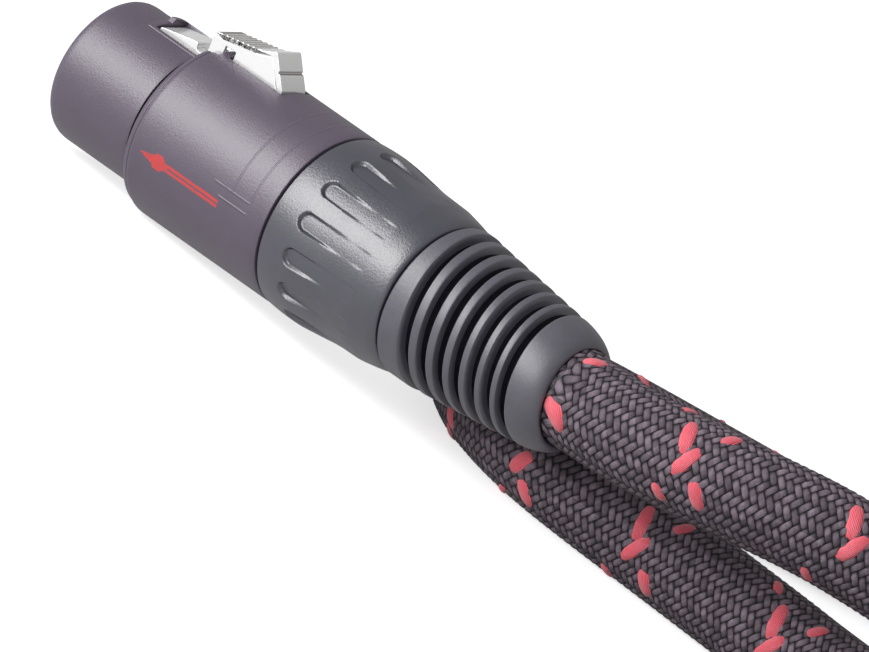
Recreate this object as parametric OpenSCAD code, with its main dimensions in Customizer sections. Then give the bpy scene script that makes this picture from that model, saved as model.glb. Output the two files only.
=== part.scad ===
// XLR cable: a female and a male cable connector on one braided cord with a flat coil.
// Each connector is built along +X from its nose, latch side up, then set in place.

/* [Cable] */
// Cable diameter in mm
cable_d = 10; // [9.6:0.2:10.2]
// Radius of the inner turn of the coil in mm
coil_r = 44.5; // [44:0.5:45.5]
// Spacing of the coil's turns in mm
coil_pitch = 12.5; // [12.2:0.1:13]

/* [Shell] */
// Radius of the plug nose in mm
nose_r = 8.05; // [8:0.05:8.2]
// Radius of the shell in mm
shell_r = 9.7; // [9.6:0.1:10]
// Bore of the nose in mm
nose_bore_r = 6.9; // [6.8:0.05:7]
// Wall of the shell behind the nose in mm
shell_wall = 1.2; // [1.1:0.05:1.25]
// Length of the nose in mm
nose_len = 12; // [11.8:0.1:12.2]
// Radial play of a nose in the male shell's cavity in mm
cavity_play = 0.25; // [0.2:0.05:0.35]

/* [Contacts] */
// Radius of a male pin in mm
pin_r = 1.2; // [1.15:0.05:1.25]
// Outer radius of a female contact in mm
socket_r = 1.75; // [1.7:0.05:1.8]

/* [Latch] */
// Width of the latch lever in mm
latch_w = 3.7; // [3.5:0.1:3.9]
// Sheet thickness of the lever in mm
latch_t = 0.55; // [0.5:0.05:0.6]
// Radius of the latch pin in mm
latch_pin_r = 0.5; // [0.45:0.05:0.55]

/* [Bushing and boot] */
// How far the bushing stands out past the shell in mm
bush_step = 0.15; // [0.1:0.05:0.25]
// Number of grip pockets
pockets = 15; // [12:1:16]
// Width of a grip pocket in mm
pocket_w = 2.5; // [2.2:0.1:2.7]
// Radius of the boot's collar in mm
collar_r = 8.5; // [8.3:0.1:8.6]
// Depth of the boot's grooves in mm
groove_d = 0.85; // [0.6:0.05:0.95]
// Length of the boot behind its collar's face in mm
boot_len = 20.2; // [19.8:0.2:20.6]

/* [Placing] */
// Slope of the female connector in degrees
pitch = 4.8; // [4.6:0.1:5]
// Roll of the female connector about its axis in degrees
roll = 11; // [10:1:12]

/* [Hidden] */
run = 0.1;
eps = 0.05;
cable_r = cable_d / 2;
shell_bore_r = shell_r - shell_wall;
cavity_r = nose_r + cavity_play;
bush_r = shell_r + bush_step;
shell_end = 32.6;
bush_front = shell_end + 0.2;
bush_end = bush_front + 16;
boot_front = bush_end + 0.2;
conn_len = boot_front + boot_len;
rib_r = 8.6;
rib_w = 5.8;
key_w = rib_w + 0.4;
insert_r = nose_bore_r - run;
flat_h = 6;
cup_u = 22;
strip_top = 8;
strip_low = strip_top - latch_t;
slot_w = latch_w + 0.6;
window_w = latch_w + 0.8;
hub_u = 22;
hub_h = 8;
hub_r = 0.9;
stub_u = 31;
wire_r = 0.75;
wire_circle_r = cable_r - wire_r - eps;
contact_circle_r = wire_circle_r + 0.25;
bush_bore_r = 7.4;
bush_mouth_r = 6.6;
cords_z = 5;
contact_angles = [45, 135, 270];
shell_grey = [0.42, 0.38, 0.43];
black = [0.1, 0.1, 0.11];
nickel = [0.85, 0.85, 0.84];

// Placing: the shell's front lower edge touches the table, the box is centred on X
lift = shell_r / cos(pitch) - 14 * sin(pitch);
shift = -34.443;
male_end = [104, 11.8];
male_turn = 159;

module female() {
  translate([shift, 0, lift])
    rotate([0, -pitch, 0])
      rotate([roll, 0, 0])
        children();
}

module male() {
  translate([male_end[0], male_end[1], bush_r])
    rotate([0, 0, male_turn])
      translate([-conn_len, 0, 0])
        children();
}

// A body of revolution about X from points [radius, distance along X]
module spin(pts) {
  rotate([0, 90, 0])
    rotate_extrude($fn = 96)
      polygon(pts);
}

module rod(r, u0, u1) {
  translate([u0, 0, 0])
    rotate([0, 90, 0])
      cylinder(r = r, h = u1 - u0, $fn = 48);
}

module round_about(n) {
  rotate([contact_angles[n] - 90, 0, 0])
    translate([0, 0, contact_circle_r])
      children();
}

module wire_about(n) {
  rotate([contact_angles[n] - 90, 0, 0])
    translate([0, 0, wire_circle_r])
      children();
}

module slab(u0, u1, w, z0, z1) {
  translate([u0, -w / 2, z0])
    cube([u1 - u0, w, z1 - z0]);
}

// Female side ---------------------------------------------------------------
module f_shell() {
  color(shell_grey)
    female()
      difference() {
        union() {
          spin([[nose_bore_r, 0], [nose_r - 0.9, 0], [nose_r - 0.3, 0.35], [nose_r, 1.2],
            [nose_r, nose_len - 0.4], [nose_r - 0.25, nose_len - 0.3],
            [nose_r - 0.25, nose_len], [shell_r - 0.8, nose_len],
            [shell_r - 0.35, nose_len + 0.5], [shell_r - 0.1, nose_len + 1.2],
            [shell_r, nose_len + 2], [shell_r, shell_end - 0.2], [shell_r - 0.2, shell_end],
            [shell_bore_r, shell_end], [shell_bore_r, 13.4], [nose_bore_r, 13.4]]);
          intersection() {
            spin([[nose_bore_r + 0.5, 4.8], [rib_r, 4.8], [rib_r, nose_len + 0.1],
              [nose_bore_r + 0.5, nose_len + 0.1]]);
            slab(4.5, nose_len + 1, rib_w, 6, 9);
          }
        }
        slab(5.6, 14.4, slot_w, flat_h, shell_r + 1);
        slab(15.4, 23.3, window_w, flat_h, shell_r + 1);
        translate([hub_u, 0, hub_h])
          rotate([90, 0, 0])
            cylinder(r = latch_pin_r + 0.03, h = 8.5, center = true, $fn = 32);
      }
}

module insert_bores(front_r, u0) {
  for (n = [0:2])
    round_about(n) {
      rod(front_r, u0 - 1, 22);
    }
}

module f_insert() {
  color(black)
    female()
      difference() {
        rod(insert_r, 0.6, 20);
        slab(-1, 21, 16, flat_h, 8);
        for (n = [0:2])
          round_about(n)
            rod(socket_r + eps, 1.6, 21);
        for (n = [0:2])
          round_about(n)
            rod(pin_r + 0.25, 0, 2);
      }
}

module f_contact(n) {
  color(nickel)
    female()
      round_about(n)
        difference() {
          rod(socket_r, 1.65, 25);
          rod(pin_r + eps, 0, 16);
          rod(pin_r, cup_u, 26);
        }
}

module f_contact_1() {
  f_contact(0);
}
module f_contact_2() {
  f_contact(1);
}
module f_contact_3() {
  f_contact(2);
}

// Lever outline, distance along X and height: strip, hook, leg and thumb pad
function pad_top(u) = 10.9 + (u - 12.4) * 0.18;
teeth = [for (k = [6:-1:0], s = [0, 1, 2])
  let (u = 13.3 + k * 0.7) s == 0 ? [u + 0.45, pad_top(u + 0.45)]
    : s == 1 ? [u + 0.22, pad_top(u) - 0.16] : [u, pad_top(u)]];
lever = concat(
  [[6.5, strip_low], [hub_u, strip_low], [22.85, 8.3], [22.75, 9.65], [20.3, 12.7],
   [19.95, 12.62], [18.6, pad_top(18.6)]],
  teeth,
  [[12.5, pad_top(12.4)], [12.3, pad_top(12.4) - 0.2], [12.3, pad_top(12.4) - latch_t],
   [18.7, pad_top(18.7) - latch_t], [19.95, 12], [22.05, 9.4], [21.9, 8.75],
   [21.3, strip_top], [12.95, strip_top], [12.95, 8.75], [12.3, 8.75], [12.1, strip_top],
   [8.5, strip_top], [8.1, 8.55], [7.2, 8.55], [6.9, strip_top], [6.5, strip_top - 0.1]]);

module f_latch() {
  color(nickel)
    female()
      difference() {
        union() {
          rotate([90, 0, 0])
            linear_extrude(latch_w, center = true)
              polygon(lever);
          translate([hub_u, 0, hub_h])
            rotate([90, 0, 0])
              cylinder(r = hub_r, h = latch_w, center = true, $fn = 32);
        }
        translate([hub_u, 0, hub_h])
          rotate([90, 0, 0])
            cylinder(r = latch_pin_r + 0.05, h = latch_w + 1, center = true, $fn = 32);
      }
}

module f_latch_pin() {
  color(nickel)
    female()
      translate([hub_u, 0, hub_h])
        rotate([90, 0, 0])
          cylinder(r = latch_pin_r, h = 8.4, center = true, $fn = 32);
}

module f_latch_spring() {
  color(nickel)
    female()
      rotate([90, 0, 0])
        linear_extrude(2.6, center = true)
          polygon([[9.8, flat_h + 0.03], [18, flat_h + 0.03], [18, flat_h + 0.28],
            [11, flat_h + 0.28], [17.4, strip_low - 0.38], [17.3, strip_low - 0.12],
            [9.8, flat_h + 0.42]]);
}

// Parts that both connectors share ------------------------------------------
module chuck() {
  difference() {
    spin([[cable_r + 0.05, 25.6], [7.1, 25.6], [7.3, 26], [7.3, 33.8], [6.9, 34.2],
      [cable_r + 0.05, 34.2]]);
    for (a = [0:90:270])
      rotate([a + 45, 0, 0])
        slab(29, 35, 0.9, 4, 9);
  }
}

module bushing() {
  difference() {
    spin([[bush_bore_r, 27.6], [shell_bore_r - run, 27.6], [shell_bore_r - run, bush_front],
      [bush_r - 0.25, bush_front], [bush_r - 0.1, bush_front + 0.2], [bush_r, 35],
      [bush_r, 37], [bush_r - 0.35, 40], [bush_r - 0.55, 41.5], [bush_r - 0.65, 43],
      [bush_r - 0.65, 45], [bush_r - 0.85, 46.2], [bush_r - 1.3, 48.6],
      [bush_r - 1.55, bush_end], [bush_mouth_r, bush_end], [bush_mouth_r, 44.7],
      [bush_bore_r, 44.7]]);
    for (k = [0:pockets - 1])
      rotate([3 + k * 360 / pockets, 0, 0])
        translate([0, 0, bush_r - 0.8])
          linear_extrude(3)
            union() {
              translate([36 + pocket_w / 2, 0])
                circle(r = pocket_w / 2, $fn = 32);
              translate([36 + pocket_w / 2, -pocket_w / 2])
                square([10, pocket_w]);
            }
  }
}

// Boot outline: a straight taper cut by grooves
groove_u = [for (k = [0.1535, 0.277, 0.391, 0.5, 0.609, 0.708, 0.807]) boot_front + k * boot_len];
function boot_r(u) = collar_r - max(0, u - boot_front - 2) * 1.9 / boot_len;
grooves = [for (g = groove_u, s = [0:3])
  s == 0 ? [boot_r(g - 0.6), g - 0.6]
  : s == 1 ? [boot_r(g) - groove_d, g - 0.35]
  : s == 2 ? [boot_r(g) - groove_d, g + 0.35] : [boot_r(g + 0.6), g + 0.6]];

module boot() {
  spin(concat(
    [[cable_r + run, 43.5], [bush_bore_r - run, 43.5], [bush_bore_r - run, 44.6],
     [bush_mouth_r - run, 44.6], [bush_mouth_r - run, boot_front],
     [collar_r - 0.25, boot_front], [collar_r, boot_front + 0.25]],
    grooves,
    [[boot_r(conn_len - 1.6), conn_len - 1.6], [boot_r(conn_len - 0.6) - 0.25, conn_len - 0.6],
     [cable_r + 1.1, conn_len],
     [cable_r + run, conn_len]]));
}

module cable_end() {
  rod(cable_r, stub_u, conn_len);
}

module wire() {
  rod(wire_r, cup_u + 0.4, stub_u);
}

module f_chuck() {
  color(black)
    female()
      chuck();
}
module f_bushing() {
  color(black)
    female()
      bushing();
}
module f_boot() {
  color(black)
    female()
      boot();
}
module f_cable_end() {
  color(black)
    female()
      cable_end();
}
module f_wire_1() {
  color([0.8, 0.8, 0.8])
    female()
      wire_about(0)
        wire();
}
module f_wire_2() {
  color([0.8, 0.15, 0.1])
    female()
      wire_about(1)
        wire();
}
module f_wire_3() {
  color([0.15, 0.15, 0.5])
    female()
      wire_about(2)
        wire();
}

// Male side -----------------------------------------------------------------
module m_shell() {
  color(shell_grey)
    male()
      difference() {
        spin([[cavity_r, 0], [shell_r - 0.5, 0], [shell_r, 0.5], [shell_r, shell_end - 0.2],
          [shell_r - 0.2, shell_end], [shell_bore_r, shell_end], [shell_bore_r, 13.5],
          [cavity_r, 13.5]]);
        intersection() {
          rod(rib_r + 0.25, -1, 8.4);
          slab(-1, 8.4, key_w, 5, 9.5);
        }
        slab(3.1, 5.7, 2.8, 7, shell_r + 1);
      }
}

module m_insert() {
  color(black)
    male()
      difference() {
        rod(shell_bore_r - run, 13.6, 20);
        for (n = [0:2])
          round_about(n) {
            rod(socket_r + eps, 16, 21);
            rod(pin_r + eps, 13, 17);
          }
      }
}

module m_pin(n) {
  color(nickel)
    male()
      round_about(n)
        difference() {
          union() {
            rod(pin_r, 1.9, 17);
            translate([1.5, 0, 0])
              rotate([0, 90, 0])
                cylinder(r1 = pin_r - 0.5, r2 = pin_r, h = 0.4, $fn = 48);
            rod(socket_r, 16.05, 25);
          }
          rod(pin_r, cup_u, 26);
        }
}

module m_pin_1() {
  m_pin(0);
}
module m_pin_2() {
  m_pin(1);
}
module m_pin_3() {
  m_pin(2);
}
module m_chuck() {
  color(black)
    male()
      chuck();
}
module m_bushing() {
  color(black)
    male()
      bushing();
}
module m_boot() {
  color(black)
    male()
      boot();
}
module m_cable_end() {
  color(black)
    male()
      cable_end();
}
module m_wire_1() {
  color([0.8, 0.8, 0.8])
    male()
      wire_about(0)
        wire();
}
module m_wire_2() {
  color([0.8, 0.15, 0.1])
    male()
      wire_about(1)
        wire();
}
module m_wire_3() {
  color([0.15, 0.15, 0.5])
    male()
      wire_about(2)
        wire();
}

// Cord: two swept tubes and a flat coil -------------------------------------
coil_c = [97.5, 87.5];
coil_start = 305;
coil_rings = 38;
coil_step = 15;
function ring_r(a) = coil_r + coil_pitch * (a - coil_start) / 360;
function ring_p(a, z) = [coil_c[0] + ring_r(a) * cos(a), coil_c[1] + ring_r(a) * sin(a), z];
function unit(v) = v / norm(v);
function ring_t(a) = let (k = coil_pitch / 2 / PI)
  unit([-ring_r(a) * sin(a) + k * cos(a), ring_r(a) * cos(a) + k * sin(a), 0]);
coil_last = coil_start + coil_rings * coil_step;
coil_z = cable_r * cos(30);
function coil_in(z) = ring_p(coil_start, z) - cable_d * ring_t(coil_start);
function coil_out(z) = ring_p(coil_last, z) + cable_d * ring_t(coil_last);
coil_path = concat([coil_in(coil_z)],
  [for (i = [0:coil_rings]) ring_p(coil_start + i * coil_step, coil_z)],
  [coil_out(coil_z)]);

boot_end = [shift + conn_len * cos(pitch), 0, lift + conn_len * sin(pitch)];
male_dir = [cos(male_turn), sin(male_turn), 0];
male_face = [male_end[0], male_end[1], bush_r];
lead_pts = concat(
  [boot_end, boot_end + 2 * [cos(pitch), 0, sin(pitch)]],
  [[44.4, 1, 15.4], [54, 4, 17.2], [62.5, 8.2, 18.6], [70.5, 13.4, 18.9],
   [77.5, 19.4, 18.5], [83.6, 26.2, 17.4], [89.6, 33, 16.3], [96.6, 38.5, 13],
   [103.2, 41.8, 8], [108.2, 42.9, 5.6]],
  [coil_in(cords_z) - 3 * ring_t(coil_start), coil_in(cords_z)]);
return_pts = concat(
  [male_face, male_face + 10 * male_dir],
  [[85.5, 18.9, 8], [76, 21, 5.6], [66, 19.9, 5], [55, 17, 5], [44, 14.1, 5],
   [34.8, 11.6, 5], [28, 10.8, 5], [21.3, 12.2, 5], [15.3, 15.5, 5], [10.5, 20.4, 5],
   [7.5, 26.6, 5], [6.5, 33.3, 5], [7.5, 40.1, 5], [10.6, 46.2, 5], [18.6, 57.7, 5],
   [26.8, 69.4, 5], [30.6, 78.5, 5], [31.4, 87.5, 5], [31.6, 96, 5]],
  [coil_out(cords_z) + 3 * ring_t(coil_last), coil_out(cords_z)]);

// Halfway points of a smooth curve; the first and last stretches stay straight
function mid(p, i) = i == 0 || i == len(p) - 2 ? (p[i] + p[i + 1]) / 2
  : (9 * (p[i] + p[i + 1]) - p[i - 1] - p[i + 2]) / 16;
function fine(p) = [for (i = [0:len(p) - 1], s = [0, 1])
  if (s == 0 || i < len(p) - 1) s == 0 ? p[i] : mid(p, i)];
function dir_at(p, i) = let (n = len(p) - 1)
  i == 0 ? unit(p[1] - p[0]) : i == n ? unit(p[n] - p[n - 1])
  : unit(unit(p[i + 1] - p[i]) + unit(p[i] - p[i - 1]));

// A tube along points: sides seen from the start, a flat one underneath
module tube(p, r, sides) {
  n = len(p);
  rings = [for (i = [0:n - 1])
    let (t = dir_at(p, i), s = unit(cross(t, [0, 0, 1])), w = cross(s, t))
      for (j = [0:sides - 1])
        let (a = (j + 0.5) * 360 / sides - 90)
          p[i] + r * (cos(a) * s + sin(a) * w)];
  walls = [for (i = [0:n - 2], j = [0:sides - 1], h = [0, 1])
    let (k = (j + 1) % sides)
      h == 0 ? [i * sides + j, i * sides + k, (i + 1) * sides + k]
      : [i * sides + j, (i + 1) * sides + k, (i + 1) * sides + j]];
  first = [for (j = [sides - 1:-1:0]) j];
  last = [for (j = [0:sides - 1]) (n - 1) * sides + j];
  polyhedron(points = rings, faces = concat(walls, [first, last]), convexity = 10);
}

function gap_of(p, skip) = min([for (i = [0:len(p) - 1], j = [0:len(p) - 1])
  if (j - i > skip) norm(p[i] - p[j])]);
function length_of(p) = [for (i = [1:len(p) - 1]) norm(p[i] - p[i - 1])] * [for (i = [1:len(p) - 1]) 1];
union() {  // cable_coil
  echo(coil_least_gap_to_itself_mm = gap_of(coil_path, 10) - cable_d);
  echo(cord_length_mm = length_of(fine(lead_pts)) + length_of(coil_path)
    + length_of(fine(return_pts)));
}

module cable_lead() {
  color(black)
    tube(fine(lead_pts), cable_r, 8);
}
module cable_coil() {
  color(black)
    tube(coil_path, cable_r, 6);
}
module cable_return() {
  color(black)
    tube(fine(return_pts), cable_r, 8);
}

f_shell();
f_insert();
f_contact_1();
f_contact_2();
f_contact_3();
f_latch();
f_latch_pin();
f_latch_spring();
f_chuck();
f_bushing();
f_boot();
f_cable_end();
f_wire_1();
f_wire_2();
f_wire_3();
m_shell();
m_insert();
m_pin_1();
m_pin_2();
m_pin_3();
m_chuck();
m_bushing();
m_boot();
m_cable_end();
m_wire_1();
m_wire_2();
m_wire_3();
cable_lead();
cable_coil();
cable_return();
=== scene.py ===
import bpy
import numpy as np
from math import pi, radians, sin, cos
from mathutils import Matrix, Vector


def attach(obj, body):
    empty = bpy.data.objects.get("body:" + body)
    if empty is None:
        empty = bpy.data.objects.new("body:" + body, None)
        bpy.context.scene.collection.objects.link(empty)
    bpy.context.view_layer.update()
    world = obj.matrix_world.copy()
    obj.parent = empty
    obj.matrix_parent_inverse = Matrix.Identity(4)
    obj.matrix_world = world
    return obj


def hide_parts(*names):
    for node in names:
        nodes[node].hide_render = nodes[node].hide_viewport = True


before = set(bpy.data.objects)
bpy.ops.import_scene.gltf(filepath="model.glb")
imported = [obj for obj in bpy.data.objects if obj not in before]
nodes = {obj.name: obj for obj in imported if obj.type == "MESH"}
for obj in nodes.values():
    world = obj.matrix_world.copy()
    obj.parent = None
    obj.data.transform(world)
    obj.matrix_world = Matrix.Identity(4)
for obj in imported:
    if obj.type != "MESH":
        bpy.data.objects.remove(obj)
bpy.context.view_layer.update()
print("stage: frame loaded")

# Camera: its right, up and back in the row frame, and the point that it aims at, in metres
camera = {
    "right": (0.64284, 0.53868, 0.54459),
    "up": (-0.55252, -0.16634, 0.81673),
    "back": (0.53054, -0.82593, 0.19070),
    "aim": (0.01083, 0.00752, 0.00883),
    "distance": 2.0,
    "clipEnd": 20,
    "lens": 828.6,  # mm
    "sensor": 36,  # mm
}
viewer = bpy.data.objects.new("camera", bpy.data.cameras.new("camera"))
bpy.context.scene.collection.objects.link(viewer)
stand = Vector(camera["aim"]) + camera["distance"] * Vector(camera["back"])
turned = Matrix((camera["right"], camera["up"], camera["back"])).transposed().to_4x4()
viewer.matrix_world = Matrix.Translation(stand) @ turned
viewer.data.lens = camera["lens"]
viewer.data.sensor_width = camera["sensor"]
viewer.data.clip_end = camera["clipEnd"]
bpy.context.scene.camera = viewer
bpy.context.scene.view_settings.view_transform = "Standard"


# A shader socket: arithmetic on it adds Math nodes, and node() adds any other node
class Sock:
    def __init__(self, tree, out):
        self.tree = tree
        self.out = out

    # A node of any type: its settings come first, then a value or a link for each input
    def node(self, kind, inputs, out=0, **settings):
        made = self.tree.nodes.new(kind)
        for name, value in settings.items():
            setattr(made, name, value)
        for name, value in inputs.items():
            if isinstance(value, Sock):
                self.tree.links.new(value.out, made.inputs[name])
            else:
                made.inputs[name].default_value = value
        return Sock(self.tree, made.outputs[out])

    # Another output of the node that this one belongs to
    def beside(self, out):
        return Sock(self.tree, self.out.node.outputs[out])

    def math(self, operation, *others):
        return self.node("ShaderNodeMath", dict(enumerate((self, *others))), operation=operation)

    def __add__(self, other):
        return self.math("ADD", other)

    def __radd__(self, other):
        return self.math("ADD", other)

    def __sub__(self, other):
        return self.math("SUBTRACT", other)

    def __rsub__(self, other):
        return self.node("ShaderNodeMath", {0: other, 1: self}, operation="SUBTRACT")

    def __mul__(self, other):
        return self.math("MULTIPLY", other)

    def __rmul__(self, other):
        return self.math("MULTIPLY", other)

    def __truediv__(self, other):
        return self.math("DIVIDE", other)

    def __rtruediv__(self, other):
        return self.node("ShaderNodeMath", {0: other, 1: self}, operation="DIVIDE")

    # Each of these two is also the other's reflected form
    def __lt__(self, other):
        return self.math("LESS_THAN", other)

    def __gt__(self, other):
        return self.math("GREATER_THAN", other)

    def floor(self):
        return self.math("FLOOR")

    def size(self):
        return self.math("ABSOLUTE")

    # Held between 0 and 1
    def held(self):
        return self.math("MINIMUM", 1.0).math("MAXIMUM", 0.0)

    # A wave between 0 and 1: half the sine, plus a half
    def wave(self):
        return self.math("SINE") * 0.5 + 0.5

    # A soft step: 0 up to low, 1 from high on
    def step(self, low, high):
        ends = {0: self, 1: low, 2: high, 3: 0.0, 4: 1.0}
        return self.node("ShaderNodeMapRange", ends, interpolation_type="SMOOTHSTEP")


# A material with its even values on the shader's own sockets, and its Object coordinates
def material(name, color, rough, **even):
    mat = bpy.data.materials.new(name)
    mat.use_nodes = True
    mat.diffuse_color = (*color, 1)
    shader = mat.node_tree.nodes["Principled BSDF"]
    shader.inputs["Base Color"].default_value = (*color, 1)
    shader.inputs["Roughness"].default_value = rough
    for socket, value in even.items():
        shader.inputs[socket.replace("_", " ")].default_value = value
    return mat, shader, Sock(mat.node_tree, None).node("ShaderNodeTexCoord", {}, "Object")


# The two values of a piece's UV map
def uvParts(coords):
    uv = coords.node("ShaderNodeTexCoord", {}, "UV")
    first = uv.node("ShaderNodeSeparateXYZ", {0: uv})
    return first, first.beside(1)


def plug(shader, name, sock):
    sock.tree.links.new(sock.out, shader.inputs[name])


def noise(coords, scale, detail=2.0, rough=0.5):
    inputs = {"Vector": coords, "Scale": scale, "Detail": detail, "Roughness": rough}
    return coords.node("ShaderNodeTexNoise", inputs)


# Relief: distance is the height, in metres, of a height value of 1
def bump(shader, height, distance, strength):
    inputs = {"Height": height, "Distance": distance, "Strength": strength}
    plug(shader, "Normal", height.node("ShaderNodeBump", inputs))


def mixColor(factor, first, second):
    low, high = [color if isinstance(color, Sock) else (*color, 1) for color in (first, second)]
    return factor.node("ShaderNodeMix", {0: factor, 6: low, 7: high}, 2, data_type="RGBA")


# Placing of the two connectors, in mm and degrees. Each has its own axes: u along it from the face of its
# nose, and phi round it from the top
placing = {
    "pitch": 4.8,  # the female connector's nose points down
    "roll": 11.0,  # and it is rolled towards the camera
    "shift": -34.443,  # of the nose's centre along x
    "restRadius": 9.7,  # the shell has this radius where it rests on the floor,
    "restAt": 14,  # which is at this u
    "length": 69.2,
    "maleEnd": (104.0, 11.8, 9.85),
    "maleTurn": 159.0,
}
pitch = radians(placing["pitch"])
roll = radians(placing["roll"])
yaw = radians(placing["maleTurn"])
pitched = np.array([[cos(pitch), 0, -sin(pitch)], [0, 1, 0], [sin(pitch), 0, cos(pitch)]])
rolled = np.array([[1, 0, 0], [0, cos(roll), -sin(roll)], [0, sin(roll), cos(roll)]])
femaleTurn = pitched @ rolled
maleTurn = np.array([[cos(yaw), -sin(yaw), 0], [sin(yaw), cos(yaw), 0], [0, 0, 1]])
lift = placing["restRadius"] / cos(pitch) - placing["restAt"] * sin(pitch)


# Points of the female connector in the row frame: rolled and pitched, then moved along x and lifted so that
# the shell rests on the floor
def female(points):
    return points @ femaleTurn.T + np.array([placing["shift"], 0, lift])


# Points of the male connector in the row frame: turned about the centre of its boot's end, which goes to
# maleEnd
def male(points):
    return (points - np.array([placing["length"], 0, 0])) @ maleTurn.T + np.array(placing["maleEnd"])


# A mesh object from points in mm and blocks of faces, each block an array with one face in a row. Edges
# that turn by more than crease degrees stay sharp, and a crease of 0 leaves every edge smooth
def addPiece(name, points, blocks, mats, uv=None, kinds=None, crease=0):
    mesh = bpy.data.meshes.new(name)
    mesh.from_pydata((points / 1000).tolist(), [], [face for block in blocks for face in block.tolist()])
    mesh.polygons.foreach_set("use_smooth", [True] * len(mesh.polygons))
    if kinds is not None:
        mesh.polygons.foreach_set("material_index", kinds)
    if uv is not None:
        mesh.uv_layers.new(name="UVMap").data.foreach_set("uv", uv.astype(np.float32).ravel())
    for mat in mats:
        mesh.materials.append(mat)
    mesh.update()
    mesh.validate()
    if crease:
        mesh.set_sharp_from_angle(angle=radians(crease))
    piece = bpy.data.objects.new(name, mesh)
    bpy.context.scene.collection.objects.link(piece)
    return piece


# Quads of a grid in which point (i, j) is number i times the columns plus j: each has the corners (i, j),
# (i + 1, j), (i + 1, j + 1) and (i, j + 1), and a way that closes goes on from its last row or column to
# its first
def gridQuads(rows, columns, closeRows=False, closeColumns=False):
    i = np.arange(rows if closeRows else rows - 1)[:, None]
    j = np.arange(columns if closeColumns else columns - 1)[None]
    below = (i + 1) % rows * columns
    beside = (j + 1) % columns
    return np.stack([i * columns + j, below + j, below + beside, i * columns + beside], -1)


# The UV of those corners, from the values of the rows and the columns, with one value more where a way
# closes
def gridUv(rowValues, columnValues):
    pair = np.stack(np.meshgrid(rowValues, columnValues, indexing="ij"), -1)
    return np.stack([pair[:-1, :-1], pair[1:, :-1], pair[1:, 1:], pair[:-1, 1:]], 2)


# Cord route in mm: lead from the boot, flat coil, return to the male connector
route = {
    "lead": [(44.4, 1, 15.4), (54, 4, 17.2), (62.5, 8.2, 18.6), (70.5, 13.4, 18.9), (77.5, 19.4, 18.5),
             (83.6, 26.2, 17.4), (89.6, 33, 16.3), (96.6, 38.5, 13), (103.2, 41.8, 8), (108.2, 42.9, 5.6)],
    "return": [(85.5, 18.9, 8), (76, 21, 5.6), (66, 19.9, 5), (55, 17, 5), (44, 14.1, 5), (34.8, 11.6, 5),
               (28, 10.8, 5), (21.3, 12.2, 5), (15.3, 15.5, 5), (10.5, 20.4, 5), (7.5, 26.6, 5),
               (6.5, 33.3, 5), (7.5, 40.1, 5), (10.6, 46.2, 5), (18.6, 57.7, 5), (26.8, 69.4, 5),
               (30.6, 78.5, 5), (31.4, 87.5, 5), (31.6, 96, 5)],
    "coilCentre": (97.5, 87.5),
    "coilR": 44.5,
    "coilPitch": 12.5,
    "coilStart": 305,  # degrees
    "coilSteps": 38,
    "coilStep": 15,  # degrees
    "coilEase": 10,  # straight run into and out of the coil
    "guide": 3,  # and the spacing of the point that leads to it
    "exits": (2, 10),  # straight run out of the female and out of the male boot
    "spacing": 0.1,
    "radius": 5.0,
}


# The flat coil's radius at an angle in degrees: it grows evenly, by coilPitch in each turn
def coilRadius(angle):
    return route["coilR"] + route["coilPitch"] * (angle - route["coilStart"]) / 360


# A point of the coil: from its centre by that radius along the angle, with the cord lying on the floor
def coilPoint(angle):
    r = coilRadius(angle)
    a = np.radians(angle)
    x, y = route["coilCentre"]
    return np.stack([x + r * np.cos(a), y + r * np.sin(a), 0 * r + route["radius"]], -1)


# The coil's direction: the slope of coilPoint over the angle, divided by its length
def coilWay(angle):
    r = coilRadius(angle)
    a = radians(angle)
    growth = route["coilPitch"] / (2 * pi)
    way = np.array([growth * cos(a) - r * sin(a), growth * sin(a) + r * cos(a), 0])
    return way / np.linalg.norm(way)


# A Catmull-Rom spline cut at even spacing: between two points it is the cubic whose slope at each of them
# is half the step from the point before to the point after
def smooth(points, spacing):
    guide = np.asarray(points, float)
    guide = np.vstack([2 * guide[0] - guide[1], guide, 2 * guide[-1] - guide[-2]])
    a, b, c, d = guide[:-3, None], guide[1:-2, None], guide[2:-1, None], guide[3:, None]
    t = np.linspace(0, 1, 24, endpoint=False)[:, None]
    square = (2 * a - 5 * b + 4 * c - d) * t ** 2
    cube = (3 * b - a - 3 * c + d) * t ** 3
    curve = 0.5 * (2 * b + (c - a) * t + square + cube)
    curve = np.vstack([curve.reshape(-1, 3), guide[-2]])
    run = np.r_[0, np.cumsum(np.linalg.norm(np.diff(curve, axis=0), axis=1))]
    even = np.linspace(0, run[-1], int(run[-1] / spacing) + 1)
    return np.stack([np.interp(even, run, curve[:, axis]) for axis in range(3)], -1)


bootEnd = female(np.array([[placing["length"], 0, 0]]))[0]
maleEnd = np.array(placing["maleEnd"])
exitWay = femaleTurn[:, 0]
coilAngles = route["coilStart"] + route["coilStep"] * np.arange(route["coilSteps"] + 1)
inWay = coilWay(coilAngles[0])
outWay = coilWay(coilAngles[-1])
coilIn = coilPoint(coilAngles[0]) - route["coilEase"] * inWay
coilOut = coilPoint(coilAngles[-1]) + route["coilEase"] * outWay
leadPoints = [bootEnd, bootEnd + route["exits"][0] * exitWay, *route["lead"],
              coilIn - route["guide"] * inWay, coilIn]
backPoints = [maleEnd, maleEnd + route["exits"][1] * maleTurn[:, 0], *route["return"],
              coilOut + route["guide"] * outWay, coilOut]
lead = smooth(leadPoints, route["spacing"])
coil = smooth(np.vstack([coilIn, coilPoint(coilAngles), coilOut]), route["spacing"])
back = smooth(backPoints, route["spacing"])
line = np.vstack([lead, coil[1:], back[::-1][1:]])
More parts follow.
